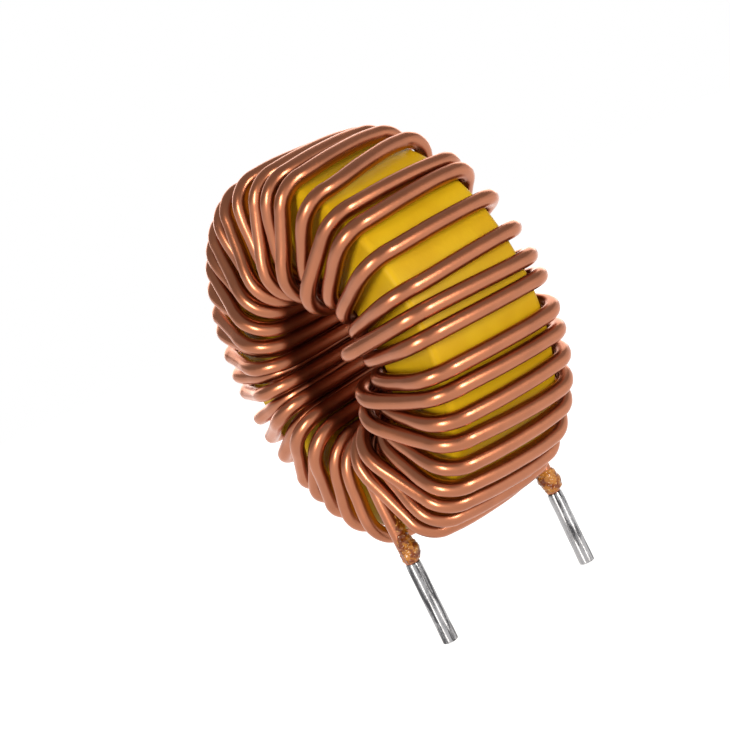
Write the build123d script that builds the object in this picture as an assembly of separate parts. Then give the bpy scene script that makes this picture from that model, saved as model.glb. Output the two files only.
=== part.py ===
from build123d import *
import math
import os

# A ring inductor stands on edge, with the ring's axis along Y and its two leads pointing down.
# The origin is under the middle of the ring, level with the end of the rear lead.

# Ring core, pressed from powder and coated
CORE_OD = 17.5
CORE_ID = 9.2
CORE_HEIGHT = 6.2
CORE_CHAMFER = 0.3

# Enamelled wire, and the air it leaves over the core and between its own turns
WIRE_D = 0.75
WIRE_SIDES = 6
TURN_GAP = 0.025
RIM_GAP = 0.16
FACE_GAP = 0.33
HOLE_GAP = 0.18
RIM_BOW = 0.12
OUTER_BEND_R = 1.4
INNER_BEND_R = 1.6
BEND_STEPS = 3

# Leads: the bare drop holds the ring's lowest turn above the rear lead's tin, and the cuts are uneven
BARE_DROP = 1.365
FRONT_LEAD_SHORTER = 0.35
REAR_LEAD_SHIFT = 0.75
TINNED_LENGTH = 4.15
REAR_TIN_SHORTER = 0.3
STRIPPED_D = 0.66
STRIP_TAPER = 0.15

# Tin on the stripped ends
TIN_WALL = 0.05
TIN_TIP = 0.08
COAT_GAP = 0.01

# Crust of burnt enamel and flux above the tin
FRONT_CRUST_LENGTH = 2.7
FRONT_CRUST_DEPTH = 0.34
REAR_CRUST_LENGTH = 1.25
REAR_CRUST_DEPTH = 0.3

# Turns in the order they were wound, from the front lead to the rear lead.
# Each row has the turn's place on the rim at the rear, on the rim at the front and in the hole,
# in degrees about the axis, from the side that faces +X towards the top. The wire leans on its way
# through the hole, and on a face it swings the more the nearer it comes to the rim.
FIRST_HOLE_DEG = 272.5
HOLE_LEAN_DEG = 5
FACE_SWING_POWER = 1.5
TURNS_DEG = [
    (257, 257, 252), (244, 244, 240.8), (233.5, 233.5, 232), (224.5, 224.5, 223.5), (217.5, 217.5, 215.5),
    (205, 205, 206.5), (196.5, 196.5, 198.5), (189, 189, 190.5), (178, 178, 182), (172, 172, 174),
    (164.5, 164.5, 166), (155, 155, 158.5), (149, 149, 150.5), (139.5, 139.5, 142), (130, 130, 134.5),
    (122.5, 122.5, 126.5), (115, 115, 117.5), (105.5, 105.5, 108.5), (99, 98.5, 99.5), (89, 86.5, 89.5),
    (80, 74.5, 80.5), (74, 68, 71.5), (66.5, 61, 62.5), (55.5, 49, 52.5), (40.5, 39.2, 43.2),
    (35.5, 33, 34.5), (23.8, 22.3, 23.2), (12.8, 11.2, 12), (4.3, 4.7, 4), (-1.8, -1.7, -4),
    (-11.6, -11.5, -15.2), (-17.5, -17.1, -22.5), (-25.4, -25.3, -30), (-33.8, -32.3, -37.3),
    (-41.3, -40.8, -44.8), (-51, -49, -56), (-60, -56.8, -63.3), (-69, -65.5, -70.7), (-77, -74.5, -79),
]

# Crust profiles from the tin upwards. Each row has a height as a share of the crust's length, and
# the depth on eight sides, from +X towards +Y, as shares of the crust's depth.
FRONT_CRUST_SHARES = [
    (0.0, (0.3, 0.3, 0.2, 0.2, 0.3, 0.3, 0.4, 0.3)),
    (0.12, (0.6, 0.7, 0.5, 0.3, 0.4, 0.4, 0.5, 0.5)),
    (0.25, (0.8, 1.0, 0.7, 0.4, 0.5, 0.3, 0.4, 0.7)),
    (0.36, (0.5, 0.8, 0.4, 0.3, 0.4, 0.4, 0.6, 0.4)),
    (0.5, (0.4, 0.3, 0.2, 0.2, 0.3, 0.2, 0.3, 0.5)),
    (0.7, (0.3, 0.2, 0.1, 0.1, 0.2, 0.3, 0.4, 0.3)),
    (1.0, (0.1, 0.1, 0.05, 0.05, 0.05, 0.1, 0.2, 0.2)),
]
REAR_CRUST_SHARES = [
    (0.0, (0.3, 0.4, 0.3, 0.2, 0.2, 0.3, 0.3, 0.3)),
    (0.3, (0.8, 0.9, 0.6, 0.3, 0.4, 0.6, 0.5, 0.7)),
    (0.55, (0.6, 1.0, 0.7, 0.4, 0.5, 0.8, 0.4, 0.6)),
    (0.8, (0.7, 0.6, 0.4, 0.3, 0.3, 0.4, 0.5, 0.4)),
    (1.0, (0.3, 0.3, 0.2, 0.2, 0.2, 0.2, 0.3, 0.2)),
]

# Where the wire's middle runs when it lies on the core
RIM_R = CORE_OD / 2 + RIM_GAP + WIRE_D / 2
HOLE_R = CORE_ID / 2 - HOLE_GAP - WIRE_D / 2
FACE_Y = CORE_HEIGHT / 2 + FACE_GAP + WIRE_D / 2
PITCH_MIN = WIRE_D + TURN_GAP

# Heights of the tin's upper ends over the end of the rear lead, and of the ring's axis
FRONT_TIN_TOP = FRONT_LEAD_SHORTER + TINNED_LENGTH
REAR_TIN_TOP = TINNED_LENGTH - REAR_TIN_SHORTER
LEAD_REACH = REAR_TIN_TOP + BARE_DROP + RIM_R


def on_axis(shape):
    """Lay a shape that stands on Z along the ring's axis."""
    return Pos(Z=LEAD_REACH) * Rot(X=90) * shape


def make_core():
    """Ring with its four edges broken."""
    ring = Cylinder(CORE_OD / 2, CORE_HEIGHT) - Cylinder(CORE_ID / 2, CORE_HEIGHT)
    ring = chamfer(ring.edges().filter_by(GeomType.CIRCLE), CORE_CHAMFER)
    return on_axis(ring)


def ring_point(radius, along, degrees):
    """Point at a radius and an angle about the ring's axis."""
    turn = math.radians(degrees)
    return Vector(radius * math.cos(turn), along, LEAD_REACH + radius * math.sin(turn))


def chord(degrees):
    """Distance between two wires that lie this far apart on the hole's wall."""
    return 2 * HOLE_R * math.sin(math.radians(abs(degrees)) / 2)


def ride_height(degrees):
    """How far a wire stands in from the wall to clear a neighbour this far round."""
    turn = math.radians(abs(degrees))
    side = min(HOLE_R * math.sin(turn), PITCH_MIN)
    return HOLE_R * (1 - math.cos(turn)) + math.sqrt(PITCH_MIN**2 - side**2)


def hole_rides():
    """Each pass through the hole lies on the wall, or rides on its neighbours where there is no room."""
    places = [FIRST_HOLE_DEG] + [hole for rear, front, hole in TURNS_DEG]
    lies = [True]
    last = FIRST_HOLE_DEG
    for place in places[1:]:
        lies.append(chord(last - place) >= PITCH_MIN)
        last = place if lies[-1] else last
    rides = []
    for n, place in enumerate(places):
        beside = (places[n - 1] - place, places[(n + 1) % len(places)] - place)
        rides.append(0 if lies[n] else max(map(ride_height, beside)))
    return rides


def face_point(radius, along, hole, rim):
    """Point of the wire on a face, at an angle between its places in the hole and on the rim."""
    share = min(max((radius - HOLE_R) / (RIM_R - HOLE_R), 0), 1)
    return ring_point(radius, along, hole + (rim - hole) * share**FACE_SWING_POWER)


def bend(radius, height, bend_r, outward, side, hole, rim):
    """Quarter bend over one edge of the core, from the rim or the hole to a face."""
    points = []
    for step in range(BEND_STEPS + 1):
        turn = math.radians(90 * step / BEND_STEPS)
        across = radius - outward * bend_r * (1 - math.cos(turn))
        along = height - bend_r * (1 - math.sin(turn))
        points.append(face_point(across, side * along, hole, rim))
    return points


def hole_bend(side, hole, rim, ride):
    """Bend from the hole to a face, starting in the hole."""
    return bend(HOLE_R - ride, FACE_Y + ride, INNER_BEND_R, -1, side, hole, rim)


def rim_bend(side, hole, rim):
    """Bend from the rim to a face, starting on the rim."""
    return bend(RIM_R, FACE_Y, OUTER_BEND_R, 1, side, hole, rim)


def face_middle(side, hole, rim, ride):
    """Point half way across a face, where a riding wire has come half way down to the core."""
    radius = (HOLE_R + INNER_BEND_R + RIM_R - OUTER_BEND_R - ride) / 2
    return face_point(radius, side * (FACE_Y + ride / 2), hole, rim)


def lead_end(top, tip, tin_top):
    """Stripped end of a lead straight below a point, from its tip upwards."""
    heights = (tip + TIN_TIP, tin_top, tin_top + STRIP_TAPER)
    return [Vector(top.X, top.Y, height) for height in heights]


def wire_route():
    """Middle of the wire from the tip of the front lead to the tip of the rear lead."""
    rides = hole_rides()
    turns = hole_bend(-1, FIRST_HOLE_DEG, FIRST_HOLE_DEG, rides[0])[::-1]
    behind = FIRST_HOLE_DEG - HOLE_LEAN_DEG
    for (rear, front, hole), last_ride, ride in zip(TURNS_DEG, rides, rides[1:]):
        turns += hole_bend(1, behind, rear, last_ride)
        turns.append(face_middle(1, behind, rear, last_ride))
        turns += rim_bend(1, behind, rear)[::-1]
        turns.append(ring_point(RIM_R + RIM_BOW, 0, (rear + front) / 2))
        turns += rim_bend(-1, hole, front)
        turns.append(face_middle(-1, hole, front, ride))
        turns += hole_bend(-1, hole, front, ride)[::-1]
        behind = hole - HOLE_LEAN_DEG
    turns += hole_bend(1, behind, behind, rides[-1])
    above_crust = REAR_TIN_TOP + REAR_CRUST_LENGTH + WIRE_D / 2
    leave = Vector(turns[-1].X + REAR_LEAD_SHIFT, turns[-1].Y, above_crust)
    front_end = lead_end(turns[0], FRONT_LEAD_SHORTER, FRONT_TIN_TOP)
    rear_end = lead_end(leave, 0, REAR_TIN_TOP)
    return front_end + turns + [leave] + rear_end[::-1]


def make_winding(route):
    """Faceted wire with stripped ends: each length of it is a prism, mitred to the next."""
    full = len(route) - 4
    radii = [STRIPPED_D / 2] * 2 + [WIRE_D / 2] * full + [STRIPPED_D / 2] * 2
    ways = [(there - here).normalized() for here, there in zip(route, route[1:])]
    start = Plane(origin=route[0], z_dir=ways[0])
    ring = [start.from_local_coords(spot) for spot in regular_ring(radii[0])]
    faces = [Face(Wire.make_polygon(ring))]
    for n, way in enumerate(ways):
        there = route[n + 1]
        mitre = way + ways[min(n + 1, len(ways) - 1)]
        grow = radii[n + 1] / radii[n]
        moved = [spot + way * ((there - spot).dot(mitre) / way.dot(mitre)) for spot in ring]
        moved = [there + (spot - there) * grow for spot in moved]
        faces += band(ring, moved)
        ring = moved
    faces.append(Face(Wire.make_polygon(ring)))
    return Solid(Shell(faces))


def regular_ring(radius):
    """Corners of the wire's section about the origin."""
    turns = [2 * math.pi * n / WIRE_SIDES for n in range(WIRE_SIDES)]
    return [Vector(radius * math.cos(turn), radius * math.sin(turn)) for turn in turns]


def band(ring, moved):
    """Flat faces between one ring of corners and the next."""
    corners = list(zip(ring, ring[1:] + ring[:1], moved[1:] + moved[:1], moved))
    return [Face(Wire.make_polygon(four)) for four in corners]


def make_solder(foot, tip, tin_top):
    """Tin coat on a stripped end, closed over its tip."""
    length = tin_top - tip
    bore_r = STRIPPED_D / 2 + COAT_GAP
    grounded = (Align.CENTER, Align.CENTER, Align.MIN)
    coat = Cylinder(bore_r + TIN_WALL, length, align=grounded)
    coat = chamfer(coat.edges().sort_by(Axis.Z)[0], TIN_WALL)
    bore = Pos(Z=TIN_TIP - COAT_GAP) * Cylinder(bore_r, length, align=grounded)
    return Pos(foot.X, foot.Y, tip) * (coat - bore)


def make_flux(foot, tin_top, length, depth, rows):
    """Lumpy crust round a lead, which stops short of the core."""
    bore_r = WIRE_D / 2 + COAT_GAP
    base = tin_top + COAT_GAP
    rings = []
    for height, sides in rows:
        spots = []
        for n, side in enumerate(sides):
            turn = 2 * math.pi * n / len(sides)
            reach = bore_r + depth * side
            spots.append(Vector(reach * math.cos(turn), reach * math.sin(turn), base + length * height))
        rings.append(spots)
    faces = [Face(Wire.make_polygon(rings[0])), Face(Wire.make_polygon(rings[-1]))]
    for low, high in zip(rings, rings[1:]):
        for a, b, c, d in zip(low, low[1:] + low[:1], high[1:] + high[:1], high):
            faces += [Face(Wire.make_polygon([a, b, c])), Face(Wire.make_polygon([a, c, d]))]
    crust = Pos(foot.X, foot.Y) * Solid(Shell(faces))
    bore = Pos(foot.X, foot.Y, base) * Cylinder(bore_r, 2 * length)
    core_room = on_axis(Cylinder(CORE_OD / 2 + COAT_GAP, CORE_HEIGHT + 2 * COAT_GAP))
    return crust - bore - core_room


route = wire_route()
front_foot = route[0]
rear_foot = route[-1]
front_crust = (FRONT_CRUST_LENGTH, FRONT_CRUST_DEPTH, FRONT_CRUST_SHARES)
rear_crust = (REAR_CRUST_LENGTH, REAR_CRUST_DEPTH, REAR_CRUST_SHARES)
pieces = {
    "core": make_core(),
    "winding": make_winding(route),
    "front_lead_solder": make_solder(front_foot, FRONT_LEAD_SHORTER, FRONT_TIN_TOP),
    "rear_lead_solder": make_solder(rear_foot, 0, REAR_TIN_TOP),
    "front_lead_flux": make_flux(front_foot, FRONT_TIN_TOP, *front_crust),
    "rear_lead_flux": make_flux(rear_foot, REAR_TIN_TOP, *rear_crust),
}

os.makedirs("parts", exist_ok=True)
for name, piece in pieces.items():
    export_step(piece, f"parts/{name}.step")
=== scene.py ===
import math

import bmesh
import bpy
from mathutils import Matrix, Vector, noise


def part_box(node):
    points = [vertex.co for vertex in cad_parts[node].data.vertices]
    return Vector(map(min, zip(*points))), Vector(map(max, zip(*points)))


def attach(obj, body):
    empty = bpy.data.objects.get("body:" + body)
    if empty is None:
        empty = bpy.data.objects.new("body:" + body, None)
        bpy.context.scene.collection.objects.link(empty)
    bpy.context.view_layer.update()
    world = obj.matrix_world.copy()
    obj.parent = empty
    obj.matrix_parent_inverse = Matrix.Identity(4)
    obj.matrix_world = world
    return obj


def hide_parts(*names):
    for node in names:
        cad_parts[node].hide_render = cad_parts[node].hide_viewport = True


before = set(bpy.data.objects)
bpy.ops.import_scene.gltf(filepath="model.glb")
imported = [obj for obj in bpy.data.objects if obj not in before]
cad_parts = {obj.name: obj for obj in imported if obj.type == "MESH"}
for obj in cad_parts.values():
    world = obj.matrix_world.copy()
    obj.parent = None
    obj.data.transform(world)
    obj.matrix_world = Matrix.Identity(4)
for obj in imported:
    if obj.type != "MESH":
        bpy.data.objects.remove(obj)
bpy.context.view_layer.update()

# Ring core
# The core is a ring of pressed iron powder, dipped in a yellow coat that is thick enough to round its
# edges. It stands on edge, and nothing but the winding holds it.
MM = 0.001
CORE_HOLE_R = 4.6 * MM
CORE_EDGE_R = 0.34 * MM
CORE_EDGE_STEPS = 5
CORE_STEPS = 192
COAT_YELLOW = (0.64, 0.405, 0.008, 1)
COAT_OCHRE = (0.58, 0.345, 0.006, 1)
COAT_CLOUD_SIZE = 2.5 * MM
COAT_SHEEN_SIZE = 0.7 * MM
COAT_PIT_SIZE = 0.22 * MM
COAT_PIT_DEPTH = 0.02 * MM
COAT_GLOSS = {"Specular IOR Level": 0.15}

core_low, core_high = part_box("core")
RING_MIDDLE = (core_low + core_high) / 2
CORE_R = (core_high.x - core_low.x) / 2
CORE_HALF = (core_high.y - core_low.y) / 2


class Tone:
    """A value that changes over a surface: a socket in a node tree, which can stand in sums."""

    def __init__(self, tree, socket=None):
        self.tree = tree
        self.socket = socket

    def node(self, kind, settings, sockets, out=0):
        """Add a node with its settings, then its values and links, and give one of its outputs."""
        made = self.tree.nodes.new(kind)
        for name, value in settings.items():
            setattr(made, name, value)
        for key, value in sockets.items():
            if isinstance(value, Tone):
                self.tree.links.new(value.socket, made.inputs[key])
            else:
                made.inputs[key].default_value = value
        return Tone(self.tree, made.outputs[out])

    def math(self, operation, *values):
        return self.node("ShaderNodeMath", {"operation": operation}, dict(enumerate(values)))

    def __add__(self, other):
        return self.math("ADD", self, other)

    def __sub__(self, other):
        return self.math("SUBTRACT", self, other)

    def __rsub__(self, other):
        return self.math("SUBTRACT", other, self)

    def __mul__(self, other):
        return self.math("MULTIPLY", self, other)

    __radd__ = __add__
    __rmul__ = __mul__

    def speckle(self, size, detail=2.0):
        """Cloudy value between 0 and 1, with lumps of a real size."""
        place = self.node("ShaderNodeNewGeometry", {}, {}, "Position")
        lumps = {"Vector": place, "Scale": 1 / size, "Detail": detail}
        return self.node("ShaderNodeTexNoise", {}, lumps)

    def step(self, low, high):
        """This value, stretched so that low becomes 0 and high becomes 1."""
        ends = {"Value": self, "From Min": low, "From Max": high}
        return self.node("ShaderNodeMapRange", {"interpolation_type": "SMOOTHSTEP"}, ends)

    def blend(self, first, second):
        """First colour where this value is 0, second where it is 1."""
        return self.node("ShaderNodeMix", {"data_type": "RGBA"}, {0: self, 6: first, 7: second}, 2)

    def bump(self, height, strength):
        """Normal that this value raises by a real height."""
        relief = {"Height": self, "Distance": height, "Strength": strength}
        return self.node("ShaderNodeBump", {}, relief)


def finish_for(piece, name, paint, fixed):
    """Give a piece a material: paint makes what changes over the surface, fixed holds the rest."""
    material = bpy.data.materials.new(name)
    material.use_nodes = True
    shader = material.node_tree.nodes["Principled BSDF"]
    for key, value in fixed.items():
        shader.inputs[key].default_value = value
    for key, tone in paint(Tone(material.node_tree)).items():
        material.node_tree.links.new(tone.socket, shader.inputs[key])
    piece.data.materials.clear()
    piece.data.materials.append(material)
    piece.data.shade_smooth()


def skin(name, rings, joined):
    """Piece of four-sided faces over rings of points, joined end to end or closed at both ends."""
    shell = bmesh.new()
    rows = [[shell.verts.new(spot) for spot in ring] for ring in rings]
    nexts = rows[1:] + rows[:1] if joined else rows[1:]
    for row, upper in zip(rows, nexts):
        for a, b, c, d in zip(row, row[1:] + row[:1], upper[1:] + upper[:1], upper):
            shell.faces.new((a, b, c, d))
    if not joined:
        shell.faces.new(rows[0])
        shell.faces.new(rows[-1])
    bmesh.ops.recalc_face_normals(shell, faces=shell.faces)
    mesh = bpy.data.meshes.new(name)
    shell.to_mesh(mesh)
    shell.free()
    piece = bpy.data.objects.new(name, mesh)
    bpy.context.scene.collection.objects.link(piece)
    return piece


def ring_point(radius, along, degrees):
    """Point at a radius and an angle about the ring's axis."""
    turn = math.radians(degrees)
    return RING_MIDDLE + Vector((radius * math.cos(turn), along, radius * math.sin(turn)))


def core_section():
    """Radius and place along the axis round the core's section, with its four edges rounded."""
    spots = []
    corners = ((CORE_R, 1, CORE_HALF, 1), (CORE_HOLE_R, -1, CORE_HALF, 1))
    corners += ((CORE_HOLE_R, -1, -CORE_HALF, -1), (CORE_R, 1, -CORE_HALF, -1))
    for corner, (radius, out, along, up) in enumerate(corners):
        for step in range(CORE_EDGE_STEPS + 1):
            turn = math.radians(90 * (corner + step / CORE_EDGE_STEPS))
            across = radius - out * CORE_EDGE_R + CORE_EDGE_R * math.cos(turn)
            spots.append((across, along - up * CORE_EDGE_R + CORE_EDGE_R * math.sin(turn)))
    return spots


def core_coat(tone):
    """Yellow coat, faintly cloudy and pitted like a dipped skin."""
    cloud = tone.speckle(COAT_CLOUD_SIZE).step(0.35, 0.65)
    pits = tone.speckle(COAT_PIT_SIZE, 3.0)
    return {
        "Base Color": cloud.blend(COAT_YELLOW, COAT_OCHRE),
        "Roughness": 0.38 + 0.16 * tone.speckle(COAT_SHEEN_SIZE),
        "Normal": pits.bump(COAT_PIT_DEPTH, 0.35),
    }


core_rings = [
    [ring_point(across, along, 360 * step / CORE_STEPS) for across, along in core_section()]
    for step in range(CORE_STEPS)
]
coated_core = skin("coated_core", core_rings, True)
finish_for(coated_core, "yellow_core_coat", core_coat, COAT_GLOSS)
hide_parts("core")
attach(coated_core, "root")

# Winding
# One length of enamelled copper wire is wound tightly round the core by hand, in a single layer that
# crowds into two levels in the hole. Its two ends are led straight down as the leads. Each turn has its
# angles at the rear and the front of the rim, and then in the hole.
WIRE_R = 0.375 * MM
STRIPPED_R = 0.33 * MM
RIM_GAP = 0.16 * MM
FACE_GAP = 0.33 * MM
HOLE_GAP = 0.18 * MM
TURN_GAP = 0.025 * MM
RIM_BOW = 0.12 * MM
OUTER_BEND_R = 1.4 * MM
INNER_BEND_R = 1.6 * MM
BEND_STEPS = 4
WIRE_STEPS = 4
WIRE_BEVEL = 6
REAR_LEAD_SHIFT = 0.75 * MM
TIN_TIP = 0.08 * MM
STRIP_TAPER = 0.15 * MM
STRIPPED_POINTS = 2
FIRST_HOLE_DEG = 272.5
HOLE_LEAN_DEG = 5
FACE_SWING_POWER = 1.5
TURNS_DEG = [
    (257, 257, 252), (244, 244, 240.8), (233.5, 233.5, 232), (224.5, 224.5, 223.5),
    (217.5, 217.5, 215.5), (205, 205, 206.5), (196.5, 196.5, 198.5), (189, 189, 190.5),
    (178, 178, 182), (172, 172, 174), (164.5, 164.5, 166), (155, 155, 158.5), (149, 149, 150.5),
    (139.5, 139.5, 142), (130, 130, 134.5), (122.5, 122.5, 126.5), (115, 115, 117.5),
    (105.5, 105.5, 108.5), (99, 98.5, 99.5), (89, 86.5, 89.5), (80, 74.5, 80.5), (74, 68, 71.5),
    (66.5, 61, 62.5), (55.5, 49, 52.5), (40.5, 39.2, 43.2), (35.5, 33, 34.5), (23.8, 22.3, 23.2),
    (12.8, 11.2, 12), (4.3, 4.7, 4), (-1.8, -1.7, -4), (-11.6, -11.5, -15.2), (-17.5, -17.1, -22.5),
    (-25.4, -25.3, -30), (-33.8, -32.3, -37.3), (-41.3, -40.8, -44.8), (-51, -49, -56),
    (-60, -56.8, -63.3), (-69, -65.5, -70.7), (-77, -74.5, -79),
]
COPPER = (0.385, 0.123, 0.048, 1)
COPPER_DULL = (0.34, 0.106, 0.04, 1)
COPPER_EDGE = (0.95, 0.55, 0.4, 1)
COPPER_CLOUD_SIZE = 1.6 * MM
COPPER_SHEEN_SIZE = 0.5 * MM
COPPER_SPECK_SIZE = 0.16 * MM
COPPER_SPECK_HEIGHT = 0.012 * MM
COPPER_GLOSS = {
    "Metallic": 1.0,
    "Specular Tint": COPPER_EDGE,
    "Coat Weight": 0.85,
    "Coat Roughness": 0.24,
}

RIM_R = CORE_R + RIM_GAP + WIRE_R
HOLE_R = CORE_HOLE_R - HOLE_GAP - WIRE_R
FACE_Y = CORE_HALF + FACE_GAP + WIRE_R
PITCH_MIN = 2 * WIRE_R + TURN_GAP


def ride_height(degrees):
    """How far a wire stands in from the hole's wall to clear a neighbour this far round."""
    turn = math.radians(abs(degrees))
    side = min(HOLE_R * math.sin(turn), PITCH_MIN)
    return HOLE_R * (1 - math.cos(turn)) + math.sqrt(PITCH_MIN**2 - side**2)


def hole_rides():
    """Each pass through the hole lies on the wall, or rides on its neighbours where there is no room."""
    places = [FIRST_HOLE_DEG] + [hole for rear, front, hole in TURNS_DEG]
    lies = [True]
    last = FIRST_HOLE_DEG
    for place in places[1:]:
        lies.append(2 * HOLE_R * math.sin(math.radians(abs(last - place)) / 2) >= PITCH_MIN)
        last = place if lies[-1] else last
    rides = []
    for n, place in enumerate(places):
        beside = (places[n - 1] - place, places[(n + 1) % len(places)] - place)
        rides.append(0 if lies[n] else max(map(ride_height, beside)))
    return rides


def face_point(radius, along, hole, rim):
    """Point of the wire on a face, at an angle between its places in the hole and on the rim."""
    share = min(max((radius - HOLE_R) / (RIM_R - HOLE_R), 0), 1)
    return ring_point(radius, along, hole + (rim - hole) * share**FACE_SWING_POWER)


def bend(radius, height, bend_r, outward, side, hole, rim):
    """Quarter bend over one edge of the core, from the rim or the hole to a face."""
    spots = []
    for step in range(BEND_STEPS + 1):
        turn = math.radians(90 * step / BEND_STEPS)
        across = radius - outward * bend_r * (1 - math.cos(turn))
        along = height - bend_r * (1 - math.sin(turn))
        spots.append(face_point(across, side * along, hole, rim))
    return spots


def hole_bend(side, hole, rim, ride):
    """Bend from the hole to a face, starting in the hole."""
    return bend(HOLE_R - ride, FACE_Y + ride, INNER_BEND_R, -1, side, hole, rim)


def rim_bend(side, hole, rim):
    """Bend from the rim to a face, starting on the rim."""
    return bend(RIM_R, FACE_Y, OUTER_BEND_R, 1, side, hole, rim)


def face_middle(side, hole, rim, ride):
    """Point half way across a face, where a riding wire has come half way down to the core."""
    radius = (HOLE_R + INNER_BEND_R + RIM_R - OUTER_BEND_R - ride) / 2
    return face_point(radius, side * (FACE_Y + ride / 2), hole, rim)


def lead_end(top, lead):
    """Stripped end of a lead straight below a point, from its tip upwards."""
    low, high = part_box(f"{lead}_lead_solder")
    heights = (low.z + TIN_TIP, high.z, high.z + STRIP_TAPER)
    return [Vector((top.x, top.y, height)) for height in heights]


def wire_route():
    """Middle of the wire from the tip of the front lead to the tip of the rear lead."""
    rides = hole_rides()
    turns = hole_bend(-1, FIRST_HOLE_DEG, FIRST_HOLE_DEG, rides[0])[::-1]
    behind = FIRST_HOLE_DEG - HOLE_LEAN_DEG
    for (rear, front, hole), last_ride, ride in zip(TURNS_DEG, rides, rides[1:]):
        turns += hole_bend(1, behind, rear, last_ride)
        turns.append(face_middle(1, behind, rear, last_ride))
        turns += rim_bend(1, behind, rear)[::-1]
        turns.append(ring_point(RIM_R + RIM_BOW, 0, (rear + front) / 2))
        turns += rim_bend(-1, hole, front)
        turns.append(face_middle(-1, hole, front, ride))
        turns += hole_bend(-1, hole, front, ride)[::-1]
        behind = hole - HOLE_LEAN_DEG
    turns += hole_bend(1, behind, behind, rides[-1])
    above_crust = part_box("rear_lead_flux")[1].z + WIRE_R
    leave = Vector((turns[-1].x + REAR_LEAD_SHIFT, turns[-1].y, above_crust))
    return lead_end(turns[0], "front") + turns + [leave] + lead_end(leave, "rear")[::-1]


def round_wire(name, route):
    """Round wire along a smooth line through the route, thinner at its stripped ends."""
    line = bpy.data.curves.new(name, "CURVE")
    line.dimensions = "3D"
    line.bevel_depth = WIRE_R
    line.bevel_resolution = WIRE_BEVEL
    line.resolution_u = WIRE_STEPS
    line.use_fill_caps = True
    spline = line.splines.new("BEZIER")
    spline.bezier_points.add(len(route) - 1)
    for n, (knot, spot) in enumerate(zip(spline.bezier_points, route)):
        stripped = n < STRIPPED_POINTS or n >= len(route) - STRIPPED_POINTS
        knot.co = spot
        knot.radius = STRIPPED_R / WIRE_R if stripped else 1
        knot.handle_left_type = "AUTO"
        knot.handle_right_type = "AUTO"
    drawn = bpy.data.objects.new(name + "_line", line)
    bpy.context.scene.collection.objects.link(drawn)
    shapes = bpy.context.evaluated_depsgraph_get()
    mesh = bpy.data.meshes.new_from_object(drawn.evaluated_get(shapes))
    bpy.data.objects.remove(drawn)
    piece = bpy.data.objects.new(name, mesh)
    bpy.context.scene.collection.objects.link(piece)
    return piece


def enamelled_copper(tone):
    """Drawn copper under clear enamel, duller in clouds and slightly specked."""
    cloud = tone.speckle(COPPER_CLOUD_SIZE).step(0.4, 0.72)
    specks = tone.speckle(COPPER_SPECK_SIZE, 1.0)
    return {
        "Base Color": cloud.blend(COPPER, COPPER_DULL),
        "Roughness": 0.24 + 0.14 * tone.speckle(COPPER_SHEEN_SIZE),
        "Normal": specks.bump(COPPER_SPECK_HEIGHT, 0.3),
    }


route = wire_route()
winding_wire = round_wire("winding_wire", route)
finish_for(winding_wire, "enamelled_copper", enamelled_copper, COPPER_GLOSS)
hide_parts("winding")
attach(winding_wire, "root")

# Tinned lead ends
# The last millimetres of each lead were stripped and dipped in molten tin, which left a thin, slightly
# grainy coat with a shallow sag towards the cut tip.
TIN_R = 0.388 * MM
TIN_SIDES = 32
TIN_GRAIN = 0.01 * MM
TIN_GRAIN_SIZE = 0.35 * MM
TIN_SHARES = (
    (0, 0.93), (0.004, 0.985), (0.012, 1), (0.04, 0.99), (0.12, 1), (0.2, 0.99), (0.3, 0.985),
    (0.4, 0.995), (0.5, 0.98), (0.6, 0.99), (0.7, 0.985), (0.8, 0.99), (0.88, 1), (0.94, 0.985),
    (0.98, 0.96), (1, 0.92),
)
TIN_GREY = (0.4, 0.4, 0.41, 1)
TIN_DARK_STAIN_AND_REFLECTION = (0.07, 0.07, 0.074, 1)
TIN_STREAK_SIZE = 0.24 * MM
TIN_STREAK_STRETCH = (1, 1, 0.12)
TIN_SHEEN_SIZE = 0.3 * MM
TIN_SPECK_SIZE = 0.07 * MM
TIN_SPECK_HEIGHT = 0.006 * MM
TIN_GLOSS = {"Metallic": 1.0, "Anisotropic": 0.85, "Anisotropic Rotation": 0.25}


def dipped_tin(tone):
    """Tin that ran down the lead, in bright and dark streaks along it, the dark ones partly drip stains
    and partly painted dark reflection, broken up by fine grain.
    """
    place = tone.node("ShaderNodeNewGeometry", {}, {}, "Position")
    stretched = {0: place, 1: TIN_STREAK_STRETCH}
    along = tone.node("ShaderNodeVectorMath", {"operation": "MULTIPLY"}, stretched)
    runs = {"Vector": along, "Scale": 1 / TIN_STREAK_SIZE, "Detail": 3.0}
    streak = tone.node("ShaderNodeTexNoise", {}, runs)
    grain = tone.speckle(TIN_SPECK_SIZE, 3.0)
    return {
        # The dark streaks are partly stains left by the tin and partly a painted dark reflection band
        # running along the lead.
        "Base Color": (streak + 0.25 * (grain - 0.5)).step(0.44, 0.62).blend(TIN_GREY, TIN_DARK_STAIN_AND_REFLECTION),
        "Roughness": 0.26 + 0.1 * tone.speckle(TIN_SHEEN_SIZE, 3.0),
        "Normal": grain.bump(TIN_SPECK_HEIGHT, 0.4),
    }


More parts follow.
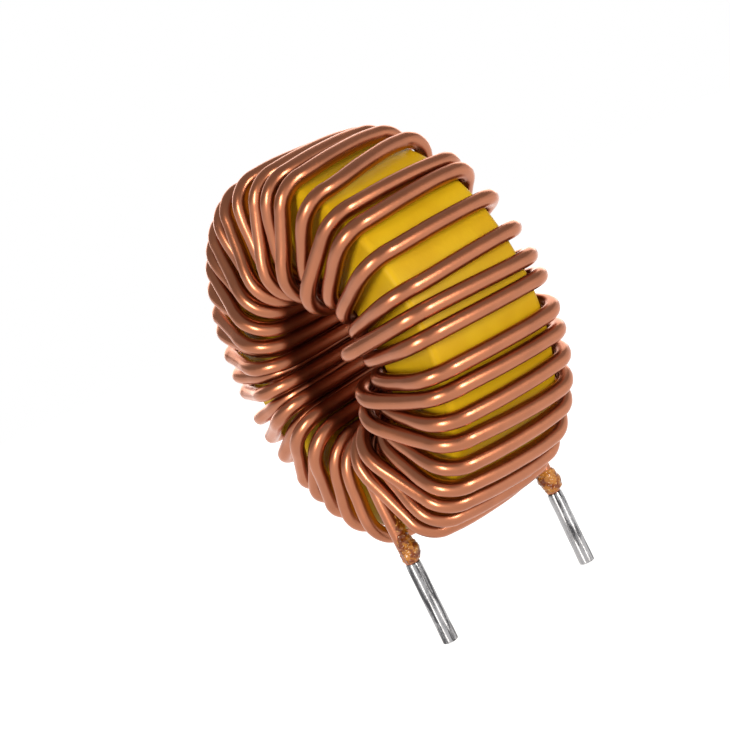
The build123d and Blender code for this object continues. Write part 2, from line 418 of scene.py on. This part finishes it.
for lead in ("front", "rear"):
    low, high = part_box(f"{lead}_lead_solder")
    middle = (low + high) / 2
    tin_rings = []
    for height, reach in TIN_SHARES:
        tin_ring = []
        level = low.z + height * (high.z - low.z)
        for side in range(TIN_SIDES):
            turn = 2 * math.pi * side / TIN_SIDES
            spot = Vector((math.cos(turn) * TIN_R, math.sin(turn) * TIN_R, level))
            sag = 1 - TIN_GRAIN / TIN_R * (0.5 + noise.noise((spot + middle) / TIN_GRAIN_SIZE))
            spot.x = middle.x + spot.x * reach * sag
            spot.y = middle.y + spot.y * reach * sag
            tin_ring.append(spot)
        tin_rings.append(tin_ring)
    tinned_end = skin(f"{lead}_tinned_end", tin_rings, False)
    finish_for(tinned_end, f"{lead}_dipped_tin", dipped_tin, TIN_GLOSS)
    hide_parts(f"{lead}_lead_solder")
    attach(tinned_end, "root")

# Flux crusts
# Above the tin, the heat of the dip burnt the enamel and left flux behind: a brittle amber crust with
# beads and glassy flakes, thicker on one side of each lead.
CRUST_GAP = 0.01 * MM
CRUST_DEPTH = {"front": 0.34 * MM, "rear": 0.3 * MM}
CRUST_SHARES = {
    "front": (
        (0.0, (0.25, 0.25, 0.2, 0.1, 0.05, 0.05, 0.05, 0.1)),
        (0.08, (0.5, 0.6, 0.5, 0.2, 0.1, 0.05, 0.1, 0.25)),
        (0.18, (0.7, 1.0, 0.85, 0.3, 0.1, 0.05, 0.1, 0.35)),
        (0.3, (0.6, 0.95, 0.7, 0.25, 0.1, 0.05, 0.1, 0.35)),
        (0.38, (0.35, 0.4, 0.3, 0.15, 0.1, 0.05, 0.05, 0.25)),
        (0.5, (0.25, 0.2, 0.15, 0.1, 0.05, 0.05, 0.05, 0.2)),
        (0.7, (0.2, 0.15, 0.1, 0.05, 0.05, 0.05, 0.05, 0.15)),
        (1.0, (0.02, 0.02, 0.02, 0.02, 0.02, 0.02, 0.02, 0.02)),
    ),
    "rear": (
        (0.0, (0.2, 0.3, 0.25, 0.15, 0.1, 0.1, 0.1, 0.15)),
        (0.2, (0.5, 0.8, 0.6, 0.3, 0.2, 0.2, 0.2, 0.4)),
        (0.42, (0.6, 1.0, 0.85, 0.4, 0.3, 0.55, 0.4, 0.5)),
        (0.6, (0.5, 0.9, 0.7, 0.4, 0.4, 0.9, 0.5, 0.45)),
        (0.8, (0.6, 0.6, 0.5, 0.3, 0.3, 0.5, 0.4, 0.5)),
        (1.0, (0.3, 0.35, 0.3, 0.2, 0.2, 0.2, 0.2, 0.2)),
    ),
}
CRUST_ROUNDS = 3
FLAKE_SIZE = 0.2 * MM
FLAKE_HEIGHT = 0.06 * MM
FLUX_AMBER = (0.52, 0.2, 0.03, 1)
FLUX_BURNT = (0.2, 0.042, 0.006, 1)
FLUX_PAINTED_GLINT = (0.8, 0.46, 0.15, 1)
FLUX_BURN_SIZE = 0.45 * MM
FLUX_PAINTED_GLINT_SIZE = 0.12 * MM
FLUX_SHEEN_SIZE = 0.15 * MM
FLUX_BEAD_SIZE = 0.25 * MM
FLUX_BEAD_HEIGHT = 0.05 * MM
FLUX_GLOSS = {"Specular IOR Level": 0.2, "Coat Weight": 0.3, "Coat Roughness": 0.08}


def burnt_flux(tone):
    """Amber flux with burnt patches, small painted glints and small glassy beads."""
    burnt = tone.speckle(FLUX_BURN_SIZE, 3.0).step(0.44, 0.58)
    painted_glints = tone.speckle(FLUX_PAINTED_GLINT_SIZE, 2.0).step(0.6, 0.7)
    beads = tone.speckle(FLUX_BEAD_SIZE, 1.0)
    return {
        # The pale specks are painted glints: small highlights painted into the flux's colour.
        "Base Color": painted_glints.blend(burnt.blend(FLUX_AMBER, FLUX_BURNT), FLUX_PAINTED_GLINT),
        "Roughness": 0.06 + 0.2 * tone.speckle(FLUX_SHEEN_SIZE),
        "Normal": beads.bump(FLUX_BEAD_HEIGHT, 0.6),
    }


for lead, foot in (("front", route[0]), ("rear", route[-1])):
    low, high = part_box(f"{lead}_lead_flux")
    crust_rings = []
    for height, sides in CRUST_SHARES[lead]:
        crust_ring = []
        middle = Vector((foot.x, foot.y, low.z + height * (high.z - low.z)))
        for side, share in enumerate(sides):
            turn = 2 * math.pi * side / len(sides)
            reach = WIRE_R + CRUST_GAP + CRUST_DEPTH[lead] * share
            out = Vector((math.cos(turn), math.sin(turn), 0))
            crust_ring.append(middle + reach * out)
        crust_rings.append(crust_ring)
    flux_crust = skin(f"{lead}_flux_crust", crust_rings, False)
    rounding = flux_crust.modifiers.new("rounding", "SUBSURF")
    rounding.levels = CRUST_ROUNDS
    rounding.render_levels = CRUST_ROUNDS
    shapes = bpy.context.evaluated_depsgraph_get()
    flux_crust.data = bpy.data.meshes.new_from_object(flux_crust.evaluated_get(shapes))
    flux_crust.modifiers.clear()
    for vertex in flux_crust.data.vertices:
        out = Vector((vertex.co.x - foot.x, vertex.co.y - foot.y, 0))
        flake = noise.noise(vertex.co / FLAKE_SIZE) + 0.5 * noise.noise(vertex.co / (FLAKE_SIZE / 2))
        vertex.co += FLAKE_HEIGHT * flake * out.normalized()
    finish_for(flux_crust, f"{lead}_burnt_flux", burnt_flux, FLUX_GLOSS)
    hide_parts(f"{lead}_lead_flux")
    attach(flux_crust, "root")

# Camera
# It stands close to the ring, a little above its middle, and leans to one side as in the photograph.
# Its focal length is given in pixels of a square picture.
CAMERA_AZIMUTH = math.radians(61.089)
CAMERA_RISE = math.radians(4.251)
CAMERA_LEAN = math.radians(26.047)
CAMERA_DISTANCE = 61.25 * MM
CAMERA_RIGHT = 1.164 * MM
CAMERA_UP = 0.875 * MM
FRAME_PIXELS = 730
FOCAL_PIXELS = 1283
SENSOR = 36

right = Vector((math.cos(CAMERA_AZIMUTH), math.sin(CAMERA_AZIMUTH), 0))
level_back = Vector((math.sin(CAMERA_AZIMUTH), -math.cos(CAMERA_AZIMUTH), 0))
back = math.cos(CAMERA_RISE) * level_back + math.sin(CAMERA_RISE) * Vector((0, 0, 1))
up = back.cross(right)
lean_right = math.cos(CAMERA_LEAN) * right - math.sin(CAMERA_LEAN) * up
lean_up = math.sin(CAMERA_LEAN) * right + math.cos(CAMERA_LEAN) * up
camera = bpy.data.cameras.new("camera")
camera.sensor_width = SENSOR
camera.lens = SENSOR * FOCAL_PIXELS / FRAME_PIXELS
camera.clip_start = MM
viewer = bpy.data.objects.new("camera", camera)
place = RING_MIDDLE + CAMERA_DISTANCE * back - CAMERA_RIGHT * right - CAMERA_UP * up
aim = Matrix((lean_right, lean_up, back)).transposed().to_4x4()
viewer.matrix_world = Matrix.Translation(place) @ aim
bpy.context.scene.collection.objects.link(viewer)
bpy.context.scene.camera = viewer
bpy.context.scene.view_settings.view_transform = "Standard"

# Stage
# The inductor stands on the end of its longer lead on a white table, in a white room under a grey
# ceiling. Two upright strip lamps stand before it and a broad soft lamp behind it. Each lamp has a
# bearing and a rise in degrees, a width and a height in metres, and a power in watts.
FLOOR_HALF = 3.0
FLOOR_GREY = (0.5, 0.5, 0.5, 1)
FLOOR_GLOW = (0.85, 0.85, 0.85, 1)
DARK = (0, 0, 0, 1)
MATT = {"Roughness": 1.0, "Specular IOR Level": 0.0, "Emission Strength": 1.0}
ROOM_FILL = (0.35, 0.35, 0.35, 1)
ROOM_WHITE = (1, 1, 1, 1)
CEILING_HEIGHT = 0.165
CEILING_HALF = 0.5
CEILING_GREY = (0.42, 0.4, 0.39, 1)
LAMPS = (
    ("strip_lamp", 11, 8, 0.022, 0.084, 0.24),
    ("side_lamp", -64, 8, 0.024, 0.084, 0.27),
    ("back_lamp", 145, 30, 0.3, 0.2, 0.36),
)
LAMP_DISTANCE = 0.2
LAMP_WARMTH = (1.0, 0.95, 0.88)


def level_square(name, height, half):
    """Level square of the stage at a height above the table."""
    mesh = bpy.data.meshes.new(name)
    corners = [(x * half, y * half, height) for x, y in ((-1, -1), (1, -1), (1, 1), (-1, 1))]
    mesh.from_pydata(corners, [], [(0, 1, 2, 3)])
    square = bpy.data.objects.new(name, mesh)
    bpy.context.scene.collection.objects.link(square)
    return square


def seen(tone):
    """1 for what the camera sees itself, mirrored or through glass, and 0 for what only lights."""
    kinds = ("Is Camera Ray", "Is Glossy Ray", "Is Transmission Ray")
    direct, mirrored, through = [tone.node("ShaderNodeLightPath", {}, {}, kind) for kind in kinds]
    return tone.math("MAXIMUM", tone.math("MAXIMUM", direct, mirrored), through)


def white_table(tone):
    """White to the eye, and no lamp of its own."""
    return {"Emission Color": seen(tone).blend(DARK, FLOOR_GLOW)}


def grey_ceiling(tone):
    """Grey where the metal mirrors it, and no lamp of its own."""
    return {"Emission Color": seen(tone).blend(DARK, CEILING_GREY)}


floor = level_square("floor", 0, FLOOR_HALF)
floor_matt = {"Base Color": FLOOR_GREY} | MATT
finish_for(floor, "white_table", white_table, floor_matt)

ceiling = level_square("ceiling", CEILING_HEIGHT, CEILING_HALF)
ceiling_matt = {"Base Color": DARK} | MATT
finish_for(ceiling, "grey_ceiling", grey_ceiling, ceiling_matt)
ceiling.visible_camera = False
ceiling.visible_diffuse = False
ceiling.visible_shadow = False

world = bpy.data.worlds.new("white_room")
bpy.context.scene.world = world
world.use_nodes = True
room = seen(Tone(world.node_tree)).blend(ROOM_FILL, ROOM_WHITE)
world.node_tree.links.new(room.socket, world.node_tree.nodes["Background"].inputs["Color"])

for name, bearing, rise, width, height, power in LAMPS:
    lamp = bpy.data.lights.new(name, "AREA")
    lamp.shape = "RECTANGLE"
    lamp.size = width
    lamp.size_y = height
    lamp.energy = power
    lamp.color = LAMP_WARMTH
    lamp_stand = bpy.data.objects.new(name, lamp)
    turn = math.radians(bearing)
    lift = math.radians(rise)
    out = Vector((math.cos(lift) * math.cos(turn), math.cos(lift) * math.sin(turn), math.sin(lift)))
    lamp_stand.location = RING_MIDDLE + LAMP_DISTANCE * out
    lamp_stand.rotation_euler = out.to_track_quat("Z", "Y").to_euler()
    bpy.context.scene.collection.objects.link(lamp_stand)
